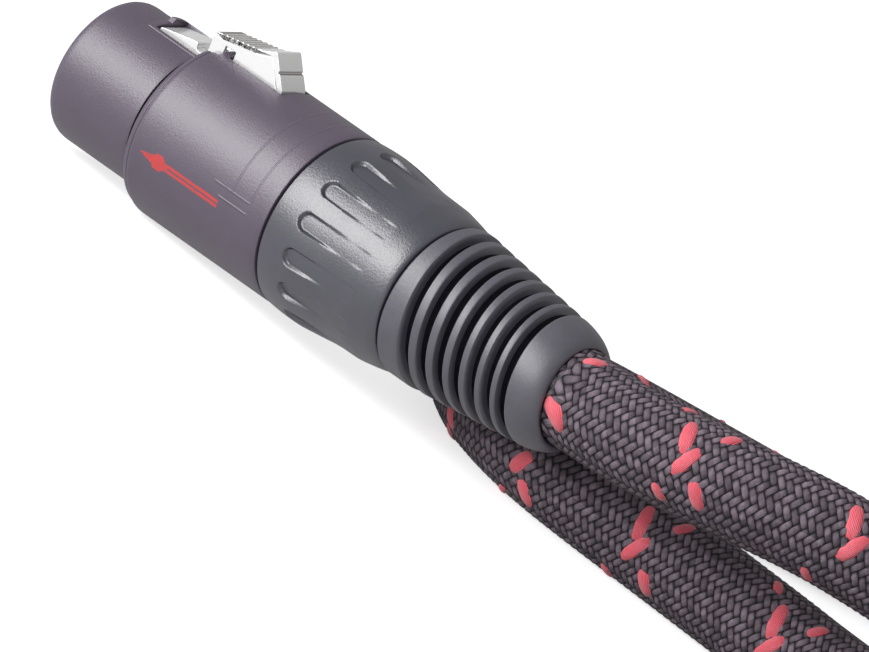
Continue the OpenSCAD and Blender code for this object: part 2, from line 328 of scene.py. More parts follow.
lineRun = np.r_[0, np.cumsum(np.linalg.norm(np.diff(line, axis=0), axis=1))]
total = float(lineRun[-1])
print("cord length mm", round(total, 1))


# The cord at distances s along it: its centre, its direction, and the level and the upward direction
# across it. The centre is read off the route, and off a straight line where s is below 0, inside the
# boot. The direction runs from a little before s to a little after. The level one is its cross product
# with z, and the upward one is the level one's with the direction
def lineAt(s):
    before = np.minimum(s, 0)
    s = s - before
    reach = 0.3
    centre = np.stack([np.interp(s, lineRun, line[:, axis]) for axis in range(3)], -1)
    centre += before[:, None] * exitWay
    ahead = np.stack([np.interp(s + reach, lineRun, line[:, axis]) for axis in range(3)], -1)
    behind = np.stack([np.interp(s - reach, lineRun, line[:, axis]) for axis in range(3)], -1)
    way = (ahead - behind) / np.linalg.norm(ahead - behind, axis=-1, keepdims=True)
    level = np.cross(way, [0, 0, 1.0])
    level /= np.linalg.norm(level, axis=-1, keepdims=True)
    return centre, way, level, np.cross(level, way)


# Braid: yarns over two and under two, round the cord and along it, in mm
braid = {
    "yarns": 24,  # in each of the two directions
    "step": 0.86,  # along the cord from one crossing to the next
    "height": 0.2,
    "plainHeight": 0.12,  # where rings are too coarse for the yarns
    "sink": 0.14,  # by which the gaps lie inside the cord's radius
    "sides": 132,
    "start": -2.1,  # the first ring, inside the boot,
    "flare": 0.15,  # where the cord is this much thicker
    "leadEnd": 42.0,  # fine rings from the boot to here,
    "returnFrom": 44.0,  # and between these two, from the other end
    "returnTo": 112.0,
    "fine": 0.3,
    "coarse": 2.6,
    "fade": 3.0,
    "arch": 0.75,
    # from dark where the relief is low, a painted shade in the gaps, to light on the yarns' crowns
    "dark": (0.002, 0.0015, 0.003),
    "light": (0.3, 0.24, 0.29),
    "fuzz": 2600.0,
    "relief": 0.00024,  # m
}


# Height of the braid, 0 to 1, at distance s and at v turns round the cord. Two families of winding lines,
# yarns times v plus or minus s / step, cut the surface into cells. The sum of a cell's two numbers,
# modulo four, says which yarn lies on top and how far along its float the cell is. The height is a half
# circle across the yarn, times an arch along the float that falls with the square of the distance from
# its middle
def braidHeight(s, v):
    left = braid["yarns"] * v + s / braid["step"]
    right = braid["yarns"] * v - s / braid["step"]
    cell = (np.floor(left) + np.floor(right)) % 4
    top = cell < 1.5
    leftPart = left - np.floor(left)
    rightPart = right - np.floor(right)
    across = np.where(top, leftPart, rightPart)
    along = np.where(top, cell + rightPart, cell - 2 + leftPart) / 2
    return np.sqrt(np.clip(1 - (2 * across - 1) ** 2, 0, 1)) * (1 - braid["arch"] * (2 * along - 1) ** 2)


# The same cells in the shader, each float a little lighter or darker at random, fibres along the yarn and
# a fine fuzz. The colour also falls with the relief, to near black in the gaps and at the yarns' edges:
# a painted shade
yarnMat, shader, coords = material("braidYarn", (0.06, 0.048, 0.066), 0.6, Specular_IOR_Level=0.2)
uvAlong, uvRound = uvParts(coords)
left = uvRound * float(braid["yarns"]) + uvAlong * 100.0 / braid["step"]
right = uvRound * float(braid["yarns"]) - uvAlong * 100.0 / braid["step"]
cellSum = left.floor() + right.floor()
cell = cellSum - (cellSum / 4.0).floor() * 4.0
top = cell < 1.5
under = 1.0 - top
leftPart = left - left.floor()
rightPart = right - right.floor()
across = top * leftPart + under * rightPart
along = (top * (cell + rightPart) + under * (cell - 2.0 + leftPart)) * 0.5
rounded = (1.0 - (across * 2.0 - 1.0).math("POWER", 2.0)).math("MAXIMUM", 0.0).math("SQRT")
relief = rounded * (1.0 - (along * 2.0 - 1.0).math("POWER", 2.0) * braid["arch"])
fibre = (across * 40.0 + along * 4.0).wave()
fuzz = noise(coords, braid["fuzz"], 3.0, 0.7)
cellName = coords.node("ShaderNodeCombineXYZ", {0: left.floor(), 1: right.floor(), 2: top})
floatTone = coords.node("ShaderNodeTexWhiteNoise", {"Vector": cellName}, noise_dimensions="3D")
# Painted shade: the colour falls with the relief, to near black in the gaps between yarns and at their edges
toneAndShade = relief.step(0.1, 0.85) * (0.5 + floatTone * 0.6) * (0.66 + fibre * 0.36) * (0.5 + fuzz * 0.95)
plug(shader, "Base Color", mixColor(toneAndShade.held(), braid["dark"], braid["light"]))
bump(shader, relief + fibre * 0.16 + fuzz * 0.34, braid["relief"], 1.0)

# The cord: rings of points at the cord's radius, with the braid's height, and a flat face at each end
backFrom = total - braid["returnTo"]
backTo = total - braid["returnFrom"]
rings = np.r_[np.arange(braid["start"], braid["leadEnd"], braid["fine"]),
              np.arange(braid["leadEnd"], backFrom, braid["coarse"]),
              np.arange(backFrom, backTo, braid["fine"]),
              np.arange(backTo, total - 1, braid["coarse"]), total]
centre, way, level, upward = lineAt(rings)
turns = np.arange(braid["sides"]) / braid["sides"]
angle = turns[:, None] * 2 * pi
onReturn = rings >= backFrom - 1
toCoarse = np.where(onReturn, np.minimum(rings - backFrom, backTo - rings), braid["leadEnd"] - rings)
detail = np.clip(toCoarse / braid["fade"], 0, 1)[:, None]
height = braidHeight(rings[:, None], turns) * braid["height"] * detail + (1 - detail) * braid["plainHeight"]
flare = braid["flare"] * np.clip(-rings[:, None] / braid["fine"], 0, 1)
radius = route["radius"] - braid["sink"] + height + flare
outward = np.cos(angle) * level[:, None] + np.sin(angle) * upward[:, None]
points = centre[:, None] + radius[..., None] * outward
quads = gridQuads(len(rings), braid["sides"], closeColumns=True).reshape(-1, 4)
quadUv = gridUv(rings / 100, np.arange(braid["sides"] + 1) / braid["sides"])
firstRing = np.arange(braid["sides"])
lastRing = len(rings) * braid["sides"] - 1 - firstRing
firstUv = np.stack([0 * turns + rings[0] / 100, turns], -1)
lastUv = np.stack([0 * turns + rings[-1] / 100, turns[::-1]], -1)
cordUv = np.vstack([quadUv.reshape(-1, 2), firstUv, lastUv])
cordFaces = [quads, firstRing[None], lastRing[None]]
cordPiece = addPiece("braidedCord", points.reshape(-1, 3), cordFaces, [yarnMat], cordUv)
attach(cordPiece, "cable")
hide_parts("cable_lead", "cable_coil", "cable_return")
print("stage: cord", len(quads))

# Red tracer floats: distance along the cord in mm, angle round it and lean in degrees, length and width
# in mm. "lead" counts from the female boot and "return" from the male end. "round" is a group that
# repeats between
tracers = {
    "lead": [(1.0, 66, 60, 2.9, 1.3), (1.4, 339, -62, 3.5, 1.6), (13.9, 42, -77, 4.5, 1.6),
             (15.0, 12, 66, 4.1, 1.55), (11.8, 94, 60, 2.6, 1.3), (17.2, 340, -62, 3.5, 1.6),
             (17.6, 66, 60, 2.8, 1.3), (13.5, 321, -55, 2.4, 1.2), (29.8, 306, -60, 2.6, 1.3),
             (31.4, 42, -77, 4.5, 1.6), (32.5, 12, 66, 4.1, 1.55), (35, 66, 60, 2.8, 1.3)],
    "return": [(88.7, 210, -75, 3.2, 1.4), (89.7, 240, 70, 3.0, 1.3), (78.2, 187, 72, 3.3, 1.5),
               (76.7, 219, -62, 3.4, 1.5), (80.0, 250, 60, 2.6, 1.2), (65.2, 154, -77, 4.5, 1.6),
               (64.2, 185, 66, 4.1, 1.55), (61.6, 216, -62, 3.5, 1.6), (61.6, 129, 60, 2.8, 1.3),
               (66.2, 246, -60, 2.4, 1.2), (50.6, 110, -60, 2.4, 1.2), (48.1, 151, -77, 4.5, 1.6),
               (47.1, 182, 66, 4.1, 1.55), (44.2, 130, 60, 2.8, 1.3), (44.4, 216, -62, 3.5, 1.6),
               (49.1, 246, -60, 2.4, 1.2)],
    "round": [(0, 42, -75, 3.3, 1.5), (1, 9, 72, 2.9, 1.4), (3, 339, -62, 3.0, 1.3), (3.5, 66, 60, 2.4, 1.2),
              (-2.5, 96, -60, 2.4, 1.2), (1, 130, 72, 2.9, 1.4), (-2, 165, -62, 2.6, 1.2),
              (2.5, 205, 60, 2.6, 1.2), (0, 240, -72, 2.9, 1.4), (-3, 275, 62, 2.6, 1.2)],
    "period": 17.0,
    "from": 48.5,  # the groups start here,
    "until": 90,  # and end this far before the male end,
    "nearMale": (10, 27),  # with two more after that
    "fineGrid": (12, 9),
    "middleGrid": (6, 5),
    "coarseGrid": (5, 4),
    "sink": 0.3,  # of the rims, below the cord's radius
    "crown": 0.42,
    "bow": 0.1,
    "narrowing": 0.42,
    "dark": (0.85, 0.035, 0.06),
    "light": (1.0, 0.23, 0.3),
    "grain": 3000.0,
    "relief": 0.00006,  # m
}
redMat, shader, coords = material("tracerYarn", (0.8, 0.06, 0.095), 0.42, Sheen_Weight=0.25)
uvAlong, uvAcross = uvParts(coords)
strand = (uvAcross * 31.4).wave()
grain = noise(coords, tracers["grain"], 2.0, 0.6)
plug(shader, "Base Color", mixColor((strand * 0.55 + grain * 0.5).held(), tracers["dark"], tracers["light"]))
bump(shader, strand + grain * 0.5, tracers["relief"], 0.9)


# One float, on a grid of t along it and q across it, both from -1 to 1. It lies on the cord turned by its
# lean, and its width shrinks with the cube of t. Its height above the sunk rim is an ellipse across it,
# lower with the fourth power of t, plus a bow that falls with the square of t
def tracerFloat(start, degrees, lean, size, width, rows, columns):
    t = np.linspace(-1, 1, rows)[:, None] + np.zeros(columns)
    q = np.linspace(-1, 1, columns) + np.zeros((rows, 1))
    lean = radians(lean)
    x = t * size / 2
    y = q * width / 2 * (1 - tracers["narrowing"] * np.abs(t) ** 3)
    s = start + x * cos(lean) - y * sin(lean)
    phi = radians(degrees) + (x * sin(lean) + y * cos(lean)) / route["radius"]
    height = tracers["crown"] * np.sqrt(1 - 0.96 * q ** 2) * (1 - 0.55 * t ** 4)
    height += tracers["bow"] * (1 - t ** 2)
    centre, way, level, upward = lineAt(s.ravel())
    phi = phi.reshape(-1, 1)
    outward = np.cos(phi) * level + np.sin(phi) * upward
    radius = route["radius"] - tracers["sink"] + height.reshape(-1, 1)
    return centre + radius * outward, np.stack([t, q], -1).reshape(-1, 2)


floats = [(*form, *tracers["fineGrid"]) for form in tracers["lead"]]
floats += [(total - s, 180 - phi, *form, *tracers["fineGrid"]) for s, phi, *form in tracers["return"]]
for group in range(int((total - tracers["until"] - tracers["from"]) / tracers["period"])):
    start = tracers["from"] + group * tracers["period"]
    floats += [(start + s, *form, *tracers["coarseGrid"]) for s, *form in tracers["round"]]
for start in tracers["nearMale"]:
    floats += [(total - start + s, *form, *tracers["middleGrid"]) for s, *form in tracers["round"]]
points, blocks, uv = [], [], []
count = 0
for placed in floats:
    rows, columns = placed[-2:]
    floatPoints, floatUv = tracerFloat(*placed)
    quads = gridQuads(rows, columns).reshape(-1, 4)
    number = np.arange(rows * columns).reshape(rows, columns)
    rim = np.r_[number[0], number[1:, -1], number[-1, -2::-1], number[-2:0:-1, 0]]  # a face closes it below
    points.append(floatPoints)
    blocks += [quads + count, rim[None] + count]
    uv += [floatUv[quads].reshape(-1, 2), floatUv[rim]]
    count += rows * columns
tracerPiece = addPiece("tracerYarns", np.vstack(points), blocks, [redMat], np.vstack(uv), crease=80)
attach(tracerPiece, "cable")
print("stage: tracers", count)


# Points of a turned surface in the connector's own axes: (u, -r sin phi, r cos phi)
def aroundAxis(u, r, phi):
    return np.stack([u + 0 * r, -r * np.sin(phi), r * np.cos(phi)], -1).reshape(-1, 3)


# The same radius all round
def plainRound(r, u, phi):
    return r


# Angles round the axis: an even step, with the edges of openings and ribs added on both sides of the top
def ringAngles(step, edges):
    return np.unique(np.round(np.r_[np.arange(0, 360, step), edges, 360 - np.array(edges)], 3))


# A turned wall between an outline of (u, radius) and a stepped bore, with openings. Outer and inner
# points share one grid of u and phi. Cells inside an opening are left out, and each cell that ends at
# one, or at an end of the wall, gets a face that joins outside and inside there
def turnedWall(name, wall, degrees, shape, place, mat):
    u, r = np.array(wall["outline"], float).T
    rows, columns = len(u), len(degrees)
    phi = np.radians(degrees)
    bore = np.where(u < wall["boreStep"], *wall["bores"])[:, None] + 0 * phi
    outer = shape(r[:, None] + 0 * phi, u[:, None], degrees)
    points = np.vstack([aroundAxis(u[:, None], outer, phi), aroundAxis(u[:, None], bore, phi)])
    middleU = (u[1:, None] + u[:-1, None]) / 2
    middlePhi = degrees + np.diff(np.r_[degrees, degrees[0] + 360]) / 2
    fromTop = np.abs((middlePhi + 180) % 360 - 180)
    keep = np.ones((rows - 1, columns), bool)
    for start, stop, half in wall["openings"]:
        keep &= ~((middleU > start) & (middleU < stop) & (fromTop < half))
    order = [0, 3, 2, 1]
    quads = gridQuads(rows, columns, closeColumns=True)[..., order]
    quadUv = gridUv(u / 100, np.r_[degrees, degrees[0] + 360] / 360)[..., order, :]
    inside = rows * columns
    faces = [quads[keep], quads[keep][:, ::-1] + inside]
    uv = [quadUv[keep], quadUv[keep][:, ::-1]]
    noCells = np.zeros((1, columns), bool)
    ahead = np.vstack([noCells, keep[:-1]])
    behind = np.vstack([keep[1:], noCells])
    for corner, beside in enumerate((ahead, np.roll(keep, -1, 1), behind, np.roll(keep, 1, 1))):
        ending = keep & ~beside
        following = (corner + 1) % 4
        edge = quads[ending][:, [following, corner]]
        faces.append(np.hstack([edge, edge[:, ::-1] + inside]))
        uv.append(quadUv[ending][:, [following, corner, corner, following]])
    used, faces = np.unique(np.vstack(faces), return_inverse=True)
    return addPiece(name, place(points[used]), [faces.reshape(-1, 4)], [mat], np.vstack(uv), crease=32)


# A closed outline of (u, radius) turned round the axis, where shape may change the radius with u and phi
def turnedSolid(name, outline, degrees, shape, place, mats, kinds=None):
    u, r = np.array(outline, float).T
    phi = np.radians(degrees)
    points = aroundAxis(u[:, None], shape(r[:, None] + 0 * phi, u[:, None], degrees), phi)
    order = [0, 3, 2, 1]
    quads = gridQuads(len(u), len(phi), True, True)[..., order]
    uv = gridUv(np.r_[u, u[0]] / 100, np.arange(len(phi) + 1) / len(phi))[..., order, :]
    kinds = None if kinds is None else np.repeat(kinds, len(phi))
    return addPiece(name, place(points), [quads.reshape(-1, 4)], mats, uv, kinds, crease=32)


# Paint of both shells: matte plum-grey with fine grain, worn a little brighter, with two thin raised rings
# that two lines join, and light scratches. On the female shell the undercut before the shoulder is
# painted near black: a painted shade
paint = {
    "base": (0.04, 0.026, 0.049),
    "light": (0.09, 0.063, 0.106),
    "rough": 0.45,
    "mottle": 260.0,  # scales of the noises
    "grain": 5200.0,
    "speck": 1500.0,
    "wear": 900.0,
    "relief": 0.00006,  # m
    "rings": (27.5, 30.1),
    "ringsGap": (178.0, 92.0),  # the rings leave out this angle and this much on both its sides
    "sides": ((86.0, 25.0), (93.0, 26.1)),  # angle and start of each line
    "sidesEnd": 30.1,
    "scratches": (155.0, 25.0),  # angle and start
    # painted shade: the undercut between these u is painted near black
    "undercut": (11.75, 12.75),
    "undercutShade": (0.004, 0.003, 0.004),
}
# Red arrow of the female shell, in mm along u and degrees round it
arrow = {
    "phi": 98.0,
    "radius": 9.7,
    "tip": 14.9,
    "head": 18.6,
    "tail": 26.3,
    "slope": 0.26,
    "barb": 0.85,
    "shaft": (0.25, 0.16),
    "color": (0.6, 0.02, 0.02),
}


# How much of the arrow's red shows: its head widens evenly from the tip, its barbs narrow behind the
# head, and two thin strokes make the shaft. Noise frays its edges and thins its paint
def arrowRed(u, phi, wear):
    y = (phi - arrow["phi"]) * (pi / 180 * arrow["radius"])
    offAxis = (y + (wear - 0.5) * 0.22).size()
    along = u + (wear - 0.5) * 0.3
    neck = arrow["head"] - 1.0
    heel = arrow["head"] + 0.4
    strokeAt, strokeHalf = arrow["shaft"]
    head = (offAxis < (along - arrow["tip"]) * arrow["slope"]) * (along > arrow["tip"]) * (along < neck)
    barbs = (offAxis < (heel - along) * arrow["barb"]) * (offAxis < arrow["barb"])
    barbs = barbs * (along > arrow["head"] - 1.6) * (along < heel)
    shaft = ((offAxis - strokeAt).size() < strokeHalf) * (along > neck) * (along < arrow["tail"])
    return (head + barbs + shaft).held() * (0.5 + wear * 0.9).held()


def shellPaint(name, withArrow):
    mat, shader, coords = material(name, paint["base"], paint["rough"], Specular_IOR_Level=1.0, IOR=1.58)
    uvAlong, uvRound = uvParts(coords)
    u = uvAlong * 100.0
    phi = uvRound * 360.0
    mottle = noise(coords, paint["mottle"], 3.0, 0.6)
    grain = noise(coords, paint["grain"], 2.0, 0.55)
    speck = noise(coords, paint["speck"], 2.0, 0.6).step(0.66, 0.78)
    wear = noise(coords, paint["wear"], 4.0, 0.7)
    front, rear = [1.0 - (u - at).size().step(0.05, 0.14) for at in paint["rings"]]
    gapAt, gapHalf = paint["ringsGap"]
    lines = (front + rear) * ((phi - gapAt).size() > gapHalf)
    for at, start in paint["sides"]:
        lines = lines + (1.0 - (phi - at).size().step(0.3, 0.9)) * (u > start) * (u < paint["sidesEnd"])
    scratchAt, scratchStart = paint["scratches"]
    scratched = (1.0 - (phi - scratchAt).size().step(8.0, 34.0)) * (u > scratchStart)
    scratches = (u * 21.0 + wear * 3.0).wave() * scratched
    worn = (mottle * 0.5 + grain * 0.55 + speck * 0.25 + lines * 0.35).held()
    color = mixColor(worn, paint["base"], paint["light"])
    rough = (grain - 0.5) * 0.12 + paint["rough"]
    if withArrow:
        red = arrowRed(u, phi, wear)
        color = mixColor(red, color, arrow["color"])
        # Painted shade: the undercut before the shoulder is painted near black
        low, high = paint["undercut"]
        color = mixColor((u > low) * (u < high), color, paint["undercutShade"])
        rough = rough + red * -0.1
    plug(shader, "Roughness", rough)
    plug(shader, "Base Color", color)
    bump(shader, grain * 0.6 + mottle * 0.15 + lines * 1.1 + scratches * 0.3, paint["relief"], 0.8)
    return mat


# A run of outline points at one radius
def straightRun(radius, *stops):
    return [(u, radius) for u in np.r_[stops]]


# Female shell, in mm: nose, undercut, shoulder, body and rear edge. An opening is its start, its end and
# its half angle
femaleWall = {
    "outline": [(0, 7.05), (0.05, 7.35), (0.2, 7.62), (0.5, 7.86), (0.85, 8.0), (1.25, 8.05),
                *straightRun(8.05, 2.2, 3.3, 4.3, 4.7, 4.85, 5.0, 5.3, 5.5, 5.6, 5.75, 6.6, 7.6, 8.6, 9.6,
                             10.6, 11.3, 11.7),
                (11.75, 8.02), (11.8, 7.6), (12.72, 7.58),
                (12.74, 9.08), (12.82, 9.26), (12.97, 9.38), (13.4, 9.5), (13.45, 9.51), (13.5, 9.46),
                (13.58, 9.47), (13.7, 9.62), (13.85, 9.68),
                *straightRun(9.7, 14.1, 14.4, 14.5, 15.3, 15.4, 15.5, np.arange(16.5, 23.1, 1.1), 23.2, 23.3,
                             23.4, np.arange(24.4, 32.3, 0.8)),
                (32.4, 9.69), (32.52, 9.64), (32.6, 9.5)],
    "bores": (6.9, 8.5),
    "boreStep": 13.42,
    "openings": [(5.6, 14.4, 17.2), (15.4, 23.3, 13.5)],
    "edges": (13.5, 13.9, 17.2, 17.6, 19.8, 20.3, 20.9, 21.5),
    "angleStep": 2.5,
    "ribFrom": 4.7,
    "ribTo": 11.76,
    "ribHalf": 21.3,
    "ribBase": 7.9,
    "ribHigh": 0.7,  # on the far side of the top
    "ribLow": 0.22,  # on the near side
}


# The nose's radius with the rib round its window: at least ribBase plus the rib's height, which rises over
# 1.4 degrees at its side and over 0.3 mm at its front
def ribbed(r, u, phi):
    fromTop = np.abs((phi + 180) % 360 - 180)
    rise = np.clip((femaleWall["ribHalf"] - fromTop) / 1.4, 0, 1) * (u < femaleWall["ribTo"])
    rise = rise * np.clip((u - femaleWall["ribFrom"]) / 0.3, 0, 1)
    height = np.where(phi > 180, femaleWall["ribHigh"], femaleWall["ribLow"])
    return np.where(rise > 0, np.maximum(r, femaleWall["ribBase"] + height * rise), r)


degrees = ringAngles(femaleWall["angleStep"], femaleWall["edges"])
shellMat = shellPaint("shellPaint", True)
femaleShell = turnedWall("femaleShell", femaleWall, degrees, ribbed, female, shellMat)
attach(femaleShell, "cable")
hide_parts("f_shell")

# Male shell, in mm, with the small opening for the other plug's latch
maleWall = {
    "outline": [(0, 9.2), (0.08, 9.42), (0.3, 9.62),
                *straightRun(9.7, 0.7, 1.6, 3.0, 3.1, 4.4, 5.7, 5.8, 8.3, 8.4, 10, 11.6, 13.4, 13.5,
                             np.arange(14.5, 32.3, 1.0)),
                (32.4, 9.69), (32.52, 9.64), (32.6, 9.5)],
    "bores": (8.3, 8.5),
    "boreStep": 13.45,
    "openings": [(3.1, 5.7, 8.4)],
    "edges": (8.3, 8.6),
    "angleStep": 3.0,
}
degrees = ringAngles(maleWall["angleStep"], maleWall["edges"])
maleShellMat = shellPaint("maleShellPaint", False)
maleShell = turnedWall("maleShell", maleWall, degrees, plainRound, male, maleShellMat)
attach(maleShell, "cable")
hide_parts("m_shell")
print("stage: shells", len(femaleShell.data.polygons))

# Bushing: satin black with tapering grip pockets, in mm
bushing = {
    "front": [(32.8, 8.6), (32.8, 9.35), (32.86, 9.55), (33.0, 9.68)],
    "waist": [(33.3, 9.74), (35, 9.85), (37, 9.85), (40, 9.5), (41.5, 9.3), (43, 9.2), (45, 9.2), (46.2, 9.0),
              (47.4, 8.8)],
    "rear": [(48.2, 8.62), (48.55, 8.5), (48.75, 8.3), (48.8, 8.1)],
    "bore": [(48.8, 6.6), (44.7, 6.6), (44.7, 7.4), (27.6, 7.4), (27.6, 8.4), (32.8, 8.4)],
    "weights": (1, 2, 3, 2, 1),  # that soften the waist's outline
    "sides": {"female": 720, "male": 360},
    "pockets": 15,
    "first": 3.0,  # degrees, the middle of the first pocket
    "halfWidth": 0.95,
    "pocketFront": 36.2,
    "pocketSpan": (34, 46),
    "pocketAbove": 8.6,  # keeps the bore and the end as they are
    "edge": 0.3,
    "floor": 9.44,
    "fall": 0.035,  # of the pocket's floor in each mm
    "atRadius": 9.6,
    "dark": (0.008, 0.008, 0.017),
    "light": (0.03, 0.029, 0.054),
    "grain": 4600.0,
    "blotch": 240.0,
    "relief": 0.000034,  # m
}
bushingMat, shader, coords = material("bushingSatin", (0.02, 0.02, 0.025), 0.4,
                                      Specular_IOR_Level=1.0, IOR=1.68)
grain = noise(coords, bushing["grain"], 2.0, 0.55)
blotch = noise(coords, bushing["blotch"], 3.0, 0.6)
plug(shader, "Base Color", mixColor((grain * 0.6 + blotch * 0.5).held(), bushing["dark"], bushing["light"]))
plug(shader, "Roughness", grain * 0.16 + blotch * 0.1 + 0.23)
bump(shader, grain + blotch * 0.4, bushing["relief"], 0.8)
profileU, profileR = np.array(bushing["front"][-1:] + bushing["waist"] + bushing["rear"]).T
evenU = np.arange(32, 50, 0.3)
fineU = np.r_[np.arange(33.3, 35.7, 0.3), np.arange(35.75, 37.6, 0.1), np.arange(37.7, 48.5, 0.22)]
evenR = np.pad(np.interp(evenU, profileU, profileR), 2, mode="edge")
softened = np.convolve(evenR, np.array(bushing["weights"]) / sum(bushing["weights"]), "valid")
waist = list(zip(fineU, np.interp(fineU, evenU, softened)))
bushingOutline = bushing["front"] + waist + bushing["rear"] + bushing["bore"]


# The bushing's radius with its pockets: a pocket is the part nearer than halfWidth to a line that runs
# back along the bushing. There the radius is at most the floor's, which falls evenly backwards, and a
# soft step joins the two
def pocketed(r, u, phi):
    pitch = 360 / bushing["pockets"]
    fromMiddle = (phi - bushing["first"] + pitch / 2) % pitch - pitch / 2
    y = np.radians(fromMiddle) * bushing["atRadius"]
    ahead = np.maximum(bushing["pocketFront"] + bushing["halfWidth"] - u, 0)
    beyond = np.sqrt(ahead ** 2 + y ** 2) - bushing["halfWidth"]
    inside = np.clip(0.5 - beyond / bushing["edge"], 0, 1)
    start, stop = bushing["pocketSpan"]
    inside = inside * inside * (3 - 2 * inside) * (u > start) * (u < stop) * (r > bushing["pocketAbove"])
    floor = bushing["floor"] - (u - bushing["pocketFront"]) * bushing["fall"]
    return r + (np.minimum(r, floor) - r) * inside


for side, letter, place in (("female", "f", female), ("male", "m", male)):
    sides = bushing["sides"][side]
    degrees = np.arange(sides) * 360 / sides
    piece = turnedSolid(side + "Bushing", bushingOutline, degrees, pocketed, place, [bushingMat])
    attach(piece, "cable")
    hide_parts(letter + "_bushing")
print("stage: bushings")

# Boot: rounded ribs between deep grooves, in mm. The groove floors get a near-black, less glossy
# material: a painted shade
boot = {
    "grooves": (52.0, 54.25, 56.45, 58.55, 60.6, 62.6, 64.55),
    "depth": 1.5,
    "half": 0.48,
    "front": 49.0,
    "radius": 8.5,
    "taperFrom": 51,
    "taper": 0.108,
    "lip": 0.35,  # rounding of the front edge
    "roundFrom": 65.4,
    "round": 1.3,
    "end": 68.8,
    "bore": [(43.5, 5.1), (43.5, 7.3), (44.6, 7.3), (44.6, 6.5), (49.0, 6.5)],
    "slant": 0.128,
    "slantFrom": (49.4, 2.4),  # where it starts, and over how much it grows
    "angleStep": {"female": 2.5, "male": 5},
    "dark": (0.034, 0.032, 0.046),
    "light": (0.1, 0.096, 0.122),
    "grooveShadeDark": (0.008, 0.007, 0.011),
    "grooveShadeLight": (0.024, 0.022, 0.03),
    "grain": 3000.0,
    "dust": 420.0,
    "relief": 0.00004,  # m
}
bootMat, shader, coords = material("bootRubber", (0.04, 0.038, 0.046), 0.46, Specular_IOR_Level=0.85, IOR=1.6)
grain = noise(coords, boot["grain"], 3.0, 0.6)
dust = noise(coords, boot["dust"], 4.0, 0.65)
plug(shader, "Base Color", mixColor((grain * 0.4 + dust * 0.7).held(), boot["dark"], boot["light"]))
plug(shader, "Roughness", grain * 0.2 + dust * 0.12 + 0.3)
bump(shader, grain + dust * 0.5, boot["relief"], 0.6)
# Painted shade: the groove floors are near black, darker than the rubber
grooveShadeMat, shader, coords = material("bootGroovePaintedShade", (0.006, 0.005, 0.009), 0.6, Specular_IOR_Level=0.12)
shade = noise(coords, 1500.0, 2.0, 0.6)
plug(shader, "Base Color", mixColor(shade, boot["grooveShadeDark"], boot["grooveShadeLight"]))
plug(shader, "Roughness", shade * 0.2 + 0.5)


# The boot's radius at u: an even taper, less a dip at each groove, which is e to the minus fourth power
# of the distance over half, less a quarter ellipse at the end and a small lip at the front
def bootRadius(u):
    fromGroove = (u - np.array(boot["grooves"])[:, None]) / boot["half"]
    dips = boot["depth"] * np.exp(-fromGroove ** 4).sum(0)
    end = np.clip((u - boot["roundFrom"]) / (boot["end"] - boot["roundFrom"]), 0, 1)
    rounding = boot["round"] * (1 - np.sqrt(np.clip(1 - end ** 2, 0, 1)))
    lip = boot["lip"] * np.clip(1 - (u - boot["front"]) / 0.3, 0, 1) ** 2
    return boot["radius"] - np.maximum(0, u - boot["taperFrom"]) * boot["taper"] - dips - rounding - lip


bootU = np.r_[np.linspace(boot["front"], boot["front"] + 0.4, 5),
              np.arange(boot["front"] + 0.5, boot["end"] - 0.65, 0.1),
              boot["end"] - 0.6 * np.linspace(1, 0, 12) ** 1.7]
bootMouth = [(boot["end"] - 0.1, 5.16), (boot["end"] - 0.2, 5.12)]
bootOutline = list(zip(bootU, bootRadius(bootU))) + bootMouth + boot["bore"]
# Faces near the middle of a groove take the painted shade material
bootMiddles = (bootU[1:] + bootU[:-1]) / 2
fromGroove = np.abs(bootMiddles[:, None] - np.array(boot["grooves"])).min(1)
inGroove = np.zeros(len(bootOutline), int)
inGroove[:len(bootMiddles)] = fromGroove < boot["half"] * 0.84
slantWay = femaleTurn.T @ (0.5752 * np.array(camera["right"]) + 0.818 * np.array(camera["up"]))


# The female boot's rings lie slanted: a point moves along the axis by the slant times its distance from the
# axis in the slant's direction, and the slant grows from nothing at the front
def slanted(points):
    start, growth = boot["slantFrom"]
    slant = boot["slant"] * np.clip((points[:, 0] - start) / growth, 0, 1)
    return female(points - np.outer(slant * (points[:, 1:] @ slantWay[1:]), [1, 0, 0]))


for side, letter, place in (("female", "f", slanted), ("male", "m", male)):
    degrees = np.arange(0, 360, boot["angleStep"][side])
    mats = [bootMat, grooveShadeMat]
    piece = turnedSolid(side + "Boot", bootOutline, degrees, plainRound, place, mats, inGroove)
    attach(piece, "cable")
    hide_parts(letter + "_boot")
print("stage: boots")

# Latch lever: bent nickel-plated sheet with a serrated thumb pad, in mm
latch = {
    "half": 1.92,
    "wall": 0.4,
    "noseHalf": 1.9,
    "noseEnd": 11.0,
    "hub": (22.0, 8.0),
    "hubRadius": 0.9,
    "hubAngles": (-60, -40, -20, 0, 20),
    "padFront": (12.4, 10.9),
    "padSlope": 0.18,
    "padBack": 18.6,
    "toothTops": (17.5, 13.2, -0.7),  # from, to, step
    "tooth": 0.34,
    "rearEdge": (21.75, 10.9),
    "bevel": 0.00009,  # m
    "brush": (500.0, 4000.0, 4000.0),
    "shadeMottle": 1800.0,
}
nickelMat, shader, coords = material("brightNickel", (0.9, 0.9, 0.89), 0.28, Metallic=0.45)
streak = coords.node("ShaderNodeMapping", {"Vector": coords, "Scale": latch["brush"]})
brushed = noise(streak, 1.0, 2.0, 0.6)
plug(shader, "Roughness", brushed * 0.16 + 0.12)
plug(shader, "Base Color", mixColor(brushed, (0.86, 0.86, 0.86), (0.97, 0.97, 0.96)))
bump(shader, brushed, 0.00002, 0.4)
